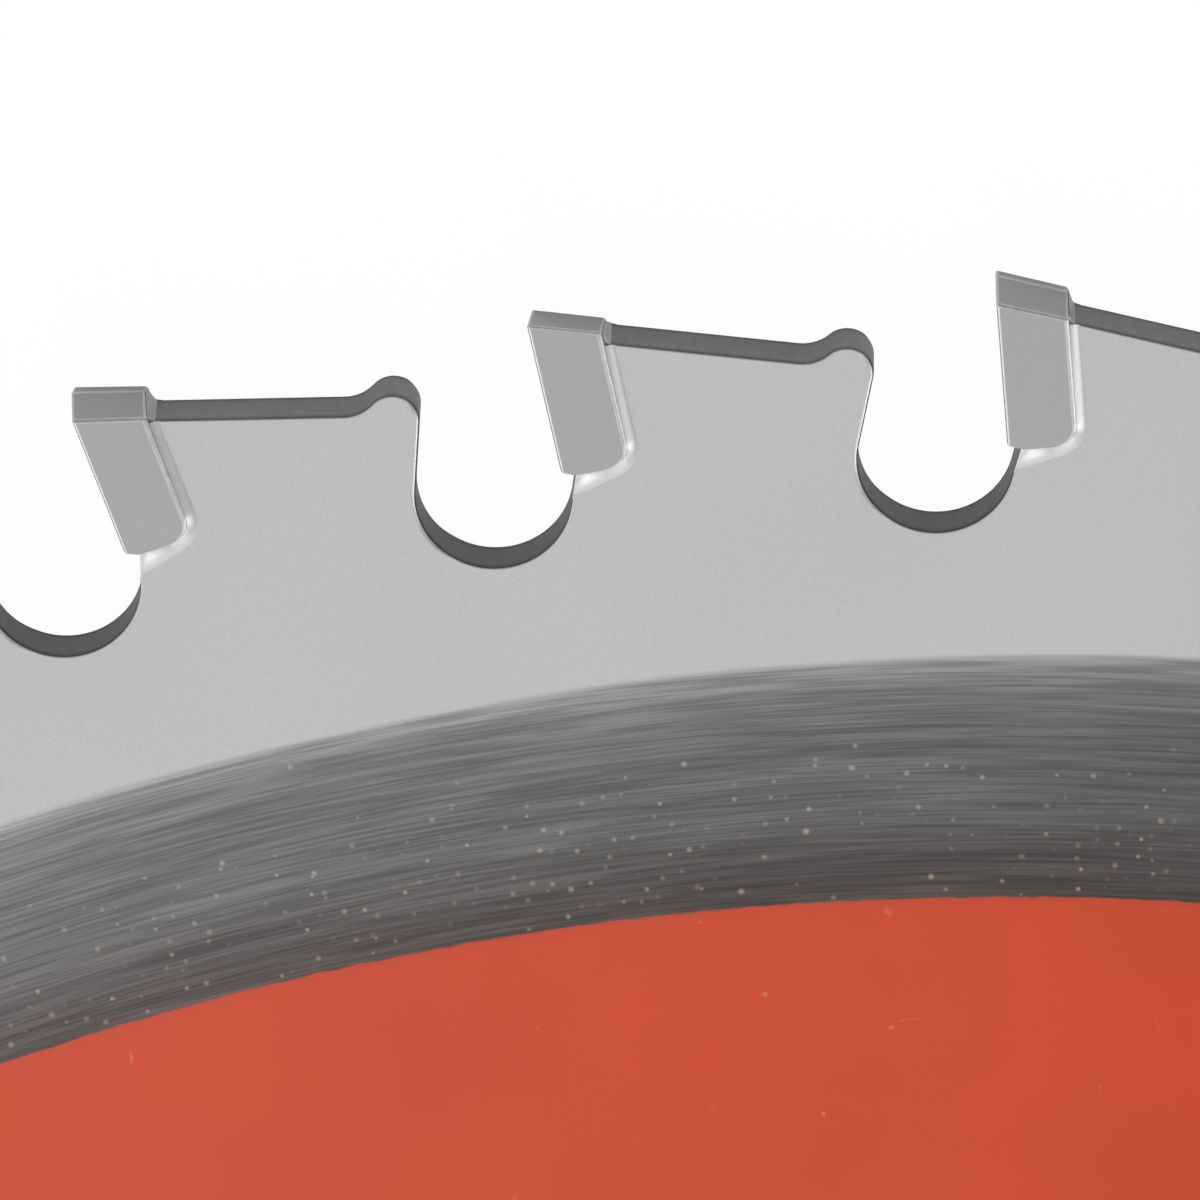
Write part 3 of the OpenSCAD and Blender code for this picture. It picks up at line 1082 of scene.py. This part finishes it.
@dataclass
class Studio:
    """Floor, light and camera, in the photograph's viewing angle."""

    floor_z: float = -1.2
    floor_half: float = 8000.0
    paper_hex: str = "#E8E8E8"
    tilt_deg: float = 22.314
    roll_deg: float = 2.585
    turn_deg: float = 4.474
    focal_share: float = 16169.1 / 1200
    camera_at: Row = (-16.671, 275.285, 441.291)
    clip: Row = (0.01, 100.0)
    sensor: float = 36.0
    world_bright: float = 0.95
    world_dim: float = 0.46
    bright_heading_deg: float = -105.0
    floor_glow: float = 0.97
    mirror_glow: float = 0.92
    shaded_glow: float = 0.4
    shade_r: Row = (104.5, 107.2)
    target: Row = (0.0, 95.0, 0.0)
    lamps: tuple[Softbox, ...] = (
        Softbox("softbox_front", (-150.0, -700.0, 1300.0), 1400.0, 4.7),
        Softbox("softbox_low", (280.0, -900.0, 420.0), 450.0, 2.1),
        Softbox("softbox_right", (1225.0, -500.0, 495.0), 750.0, 5.0),
        Softbox("softbox_left", (-400.0, -150.0, 330.0), 300.0, 0.6))

    @property
    def spin(self) -> Matrix:
        """Turn of the camera and the lamps about the blade's axis."""
        return Matrix.Rotation(math.radians(self.turn_deg), 4, "Z")

    def camera(self) -> None:
        """Set the camera: tilted off the axis, rolled, and turned about the blade's axis."""
        tilt, roll = math.radians(self.tilt_deg), math.radians(self.roll_deg)
        back = Vector((0, math.sin(tilt), math.cos(tilt)))
        right = Vector((math.cos(roll), math.sin(roll) * math.cos(tilt), -math.sin(roll) * math.sin(tilt)))
        up = back.cross(right)
        pose = Matrix((right, up, back)).transposed().to_4x4()
        pose.translation = Vector(self.camera_at) * MM
        lens = bpy.data.cameras.new("photo_camera")
        lens.sensor_width = self.sensor
        lens.lens = self.sensor * self.focal_share
        lens.clip_start, lens.clip_end = self.clip
        camera = bpy.data.objects.new("photo_camera", lens)
        camera.matrix_world = self.spin @ pose
        bpy.context.scene.collection.objects.link(camera)
        bpy.context.scene.camera = camera

    def seen_directly(self, node: Adder) -> Socket:
        """How much of its glow the floor shows to a ray.

        Args:
            node: Adds a node to the floor's material.

        Returns:
            One to the camera or through a clear piece, part of one in metal, less of it in the blade's own
            shade, and nought otherwise.
        """
        path = node("ShaderNodeLightPath", out="Is Camera Ray")
        clear, glossy = path.node.outputs["Is Transmission Ray"], path.node.outputs["Is Glossy Ray"]
        radius = node(VECTOR, {0: position(node)}, out="Value", operation="LENGTH")
        glow = node(RANGE, (radius, *self.shade_r, self.shaded_glow, self.mirror_glow), **SMOOTH)
        mirrored = node(MATH, (glossy, glow), **TIMES)
        both = node(MATH, (path, clear), **LARGER)
        return node(MATH, (both, mirrored), **LARGER)

    def floor(self) -> None:
        """Lay the pale floor, which glows white to the camera and keeps a soft shadow."""
        material, node = new_material("studio_paper_matt")
        paper = node("ShaderNodeBsdfDiffuse", {"Color": linear(self.paper_hex)})
        glow = node("ShaderNodeEmission", {"Color": (1, 1, 1, 1), "Strength": 1.0})
        share = node(MATH, (self.seen_directly(node), self.floor_glow), **TIMES)
        mix = node("ShaderNodeMixShader", (share, paper, glow))
        node(SURFACE, {"Surface": mix})
        corners = self.floor_half * np.array([[-1, -1, 0], [1, -1, 0], [1, 1, 0], [-1, 1, 0]])
        floor = make_piece("studio_floor", corners + [0, 0, self.floor_z], [[0, 1, 2, 3]], [material],
                           [0], [False], 0.0)

    def light(self) -> None:
        """Light the blade: a world brighter in front than behind the camera, and four softboxes."""
        world = bpy.data.worlds.new("studio_world")
        world.use_nodes = True
        world.node_tree.nodes.clear()
        node = partial(add_node, world.node_tree)
        heading = math.radians(self.bright_heading_deg + self.turn_deg)
        bright = (math.cos(heading), math.sin(heading), 0)
        way = node(COORDS, out="Generated")
        front = node(VECTOR, (way, bright), out="Value", operation="DOT_PRODUCT")
        level = node(RANGE, (front, -1.0, 1.0, self.world_dim, self.world_bright))
        path = node("ShaderNodeLightPath", out="Is Camera Ray")
        level = node(MATH, (level, path), **LARGER)
        sky = node("ShaderNodeBackground", {"Color": (1, 1, 1, 1), "Strength": level})
        node("ShaderNodeOutputWorld", {"Surface": sky})
        bpy.context.scene.world = world
        target = self.spin @ (Vector(self.target) * MM)
        for box in self.lamps:
            lamp = bpy.data.lights.new(box.name, "AREA")
            lamp.shape = "SQUARE"
            lamp.size = box.size * MM
            lamp.energy = box.power
            holder = bpy.data.objects.new(box.name, lamp)
            place = self.spin @ (Vector(box.at) * MM)
            holder.matrix_world = (target - place).to_track_quat("-Z", "Y").to_matrix().to_4x4()
            holder.matrix_world.translation = place
            holder.visible_camera = False
            bpy.context.scene.collection.objects.link(holder)


def stand_for(piece: Piece, node: str) -> None:
    """Put a piece in a CAD node's place.

    Args:
        piece: The piece, which rides on the blade's one body.
        node: Name of the CAD node.
    """
    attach(piece, BODY)
    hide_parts(node)
    LOG.info("%s stands for %s", piece.name, node)


def main() -> None:
    """Build the blade and its studio around the frame."""
    logging.basicConfig(level=logging.INFO, format="%(message)s")
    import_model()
    bpy.context.scene.view_settings.view_transform = "Standard"
    studio = Studio()
    studio.camera()
    studio.floor()
    studio.light()

    even = (0.2, 0.2, 0.2)
    upper = PlateFinish("blade_steel_blasted_ground_lacquered", True)
    lower = PlateFinish("blade_steel_blasted_ground", False, band_inner_hex="#595858")
    # Laser-cut and ground edge: a dull dark grey, slightly streaked across the plate, with painted shade in
    # the gullets and along its corners.
    edge = CutEdgeFinish("blade_steel_laser_cut_edge", "#838283", roughness=0.55, grain=(0.25, 0.25, 0.9),
                         contrast=0.06, relief=0.3, rough_swing=0.0)
    # Broken edge of the gullets' walls: a thin lighter line beside the blasted rim, a painted highlight.
    bright = GroundMetalFinish("blade_steel_painted_highlight_edge", "#B6B6B6", roughness=0.4, grain=even,
                               contrast=0.06, relief=0.15)
    # Ground tungsten carbide: an even mid grey with very fine grinding lines.
    carbide = GroundMetalFinish("tungsten_carbide_ground", "#949495", roughness=0.42,
                                grain=(0.06, 0.5, 0.06), contrast=0.03, relief=0.2)
    # Softened edges of the carbide: thin lighter lines along the broken corners, a painted highlight.
    carbide_edge_highlight = GroundMetalFinish("tungsten_carbide_painted_highlight_edge", "#B4B4B4", roughness=0.4, grain=even,
                                     contrast=0.1, relief=0.2)
    # Silver braze as it flowed, blasted with the plate: pale, smooth and rounded.
    braze = GroundMetalFinish("silver_braze_flowed", "#AFAFAE", roughness=0.4, grain=(0.3, 0.3, 0.3),
                              contrast=0.03, relief=0.15)

    form = ToothForm()
    plate_finishes = [finish.material() for finish in (upper, lower, edge, bright)]
    tip_finishes = [finish.material() for finish in (carbide, carbide_edge_highlight)]
    stand_for(BladePlate(form).build(plate_finishes), "blade_plate")
    tips = [CarbideTip(form, number) for number in range(1, form.teeth + 1)]
    for tip in tips:
        stand_for(tip.build(tip_finishes), tip.node)
    stand_for(BrazeSeams(form).build(tips, braze.material()), "braze_seams")


if __name__ == "__main__":
    main()
